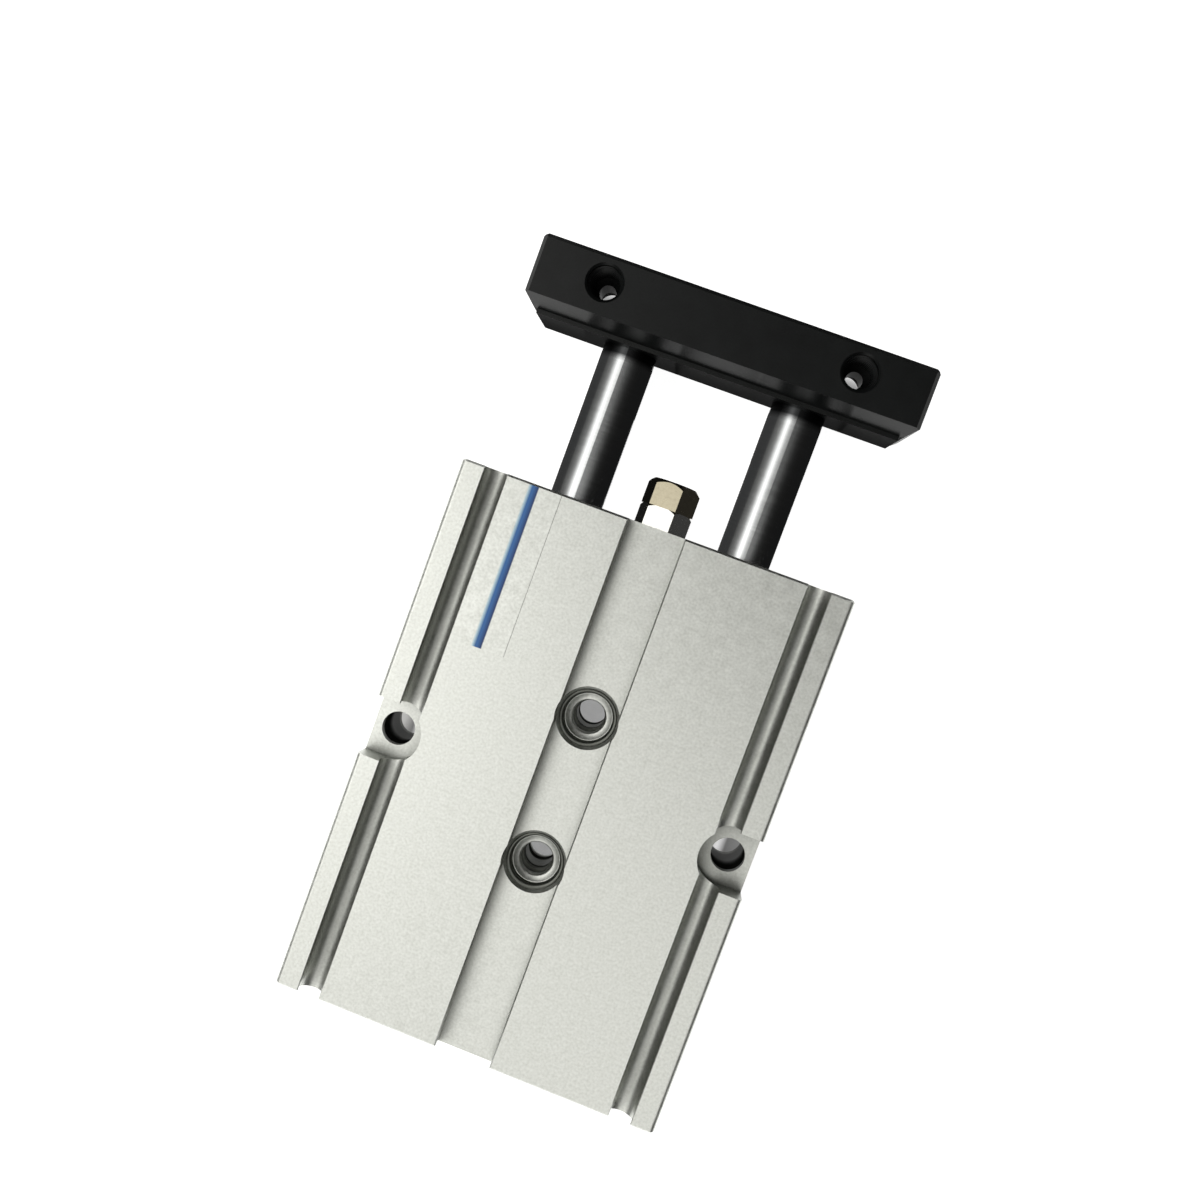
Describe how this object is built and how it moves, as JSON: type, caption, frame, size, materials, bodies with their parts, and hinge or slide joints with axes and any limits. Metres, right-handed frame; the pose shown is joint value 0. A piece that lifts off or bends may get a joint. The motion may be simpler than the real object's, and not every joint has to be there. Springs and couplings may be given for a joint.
{
  "type": "guided pneumatic cylinder",
  "caption": "Flat guided pneumatic cylinder: twin bores in one extruded body with sensor slots, paired piston rods joined by an end plate, and a hex stop bolt between them.",
  "frame": {"origin": "middle of the body's rear end face, in the plane of the two rod axes", "axes": "+Y the way the rods extend, +Z from the lower broad face to the upper one, X across the two rods"},
  "size_m": [0.058, 0.1135, 0.0201],
  "materials": {
    "clear_anodised": "satin clear anodised, extruded",
    "black_anodised": "satin black anodised",
    "hard_chrome": "ground and polished",
    "plated_steel": "bright plated",
    "black_steel": "black oxide",
    "spring_steel": "phosphated",
    "gland_aluminium": "turned",
    "bronze": "sintered",
    "nitrile": "matte",
    "urethane": "matte",
    "wear_tape": "matte",
    "magnet": "plastic-bonded magnet",
    "label_film": "pale film"
  },
  "bodies": {
    "root": {"body": "clear_anodised", "label": "label_film", "port_plugs": "black_steel", "stop_bolt": "plated_steel", "lock_nut": "plated_steel", "left_gland": "gland_aluminium", "left_gland_o_ring": "nitrile", "left_rod_bushing": "bronze", "left_rod_wiper": "nitrile", "left_rod_seal": "nitrile", "left_front_bumper": "urethane", "left_front_clip": "spring_steel", "left_rear_cover": "gland_aluminium", "left_cover_o_ring": "nitrile", "left_rear_bumper": "urethane", "left_rear_clip": "spring_steel", "right_gland": "gland_aluminium", "right_gland_o_ring": "nitrile", "right_rod_bushing": "bronze", "right_rod_wiper": "nitrile", "right_rod_seal": "nitrile", "right_front_bumper": "urethane", "right_front_clip": "spring_steel", "right_rear_cover": "gland_aluminium", "right_cover_o_ring": "nitrile", "right_rear_bumper": "urethane", "right_rear_clip": "spring_steel"},
    "carriage": {"end_plate": "black_anodised", "rod_screws": "black_steel", "left_piston_rod": "hard_chrome", "left_piston": "gland_aluminium", "left_wear_ring": "wear_tape", "left_piston_seal": "nitrile", "left_magnet": "magnet", "left_magnet_retainer": "gland_aluminium", "left_piston_nut": "plated_steel", "right_piston_rod": "hard_chrome", "right_piston": "gland_aluminium", "right_wear_ring": "wear_tape", "right_piston_seal": "nitrile", "right_magnet": "magnet", "right_magnet_retainer": "gland_aluminium", "right_piston_nut": "plated_steel"}
  },
  "joints": [
    {"name": "rod_slide", "type": "slide", "parent": "root", "child": "carriage", "axis": [0, 1, 0], "range_m": [-0.0158, 0.0142]}
  ]
}
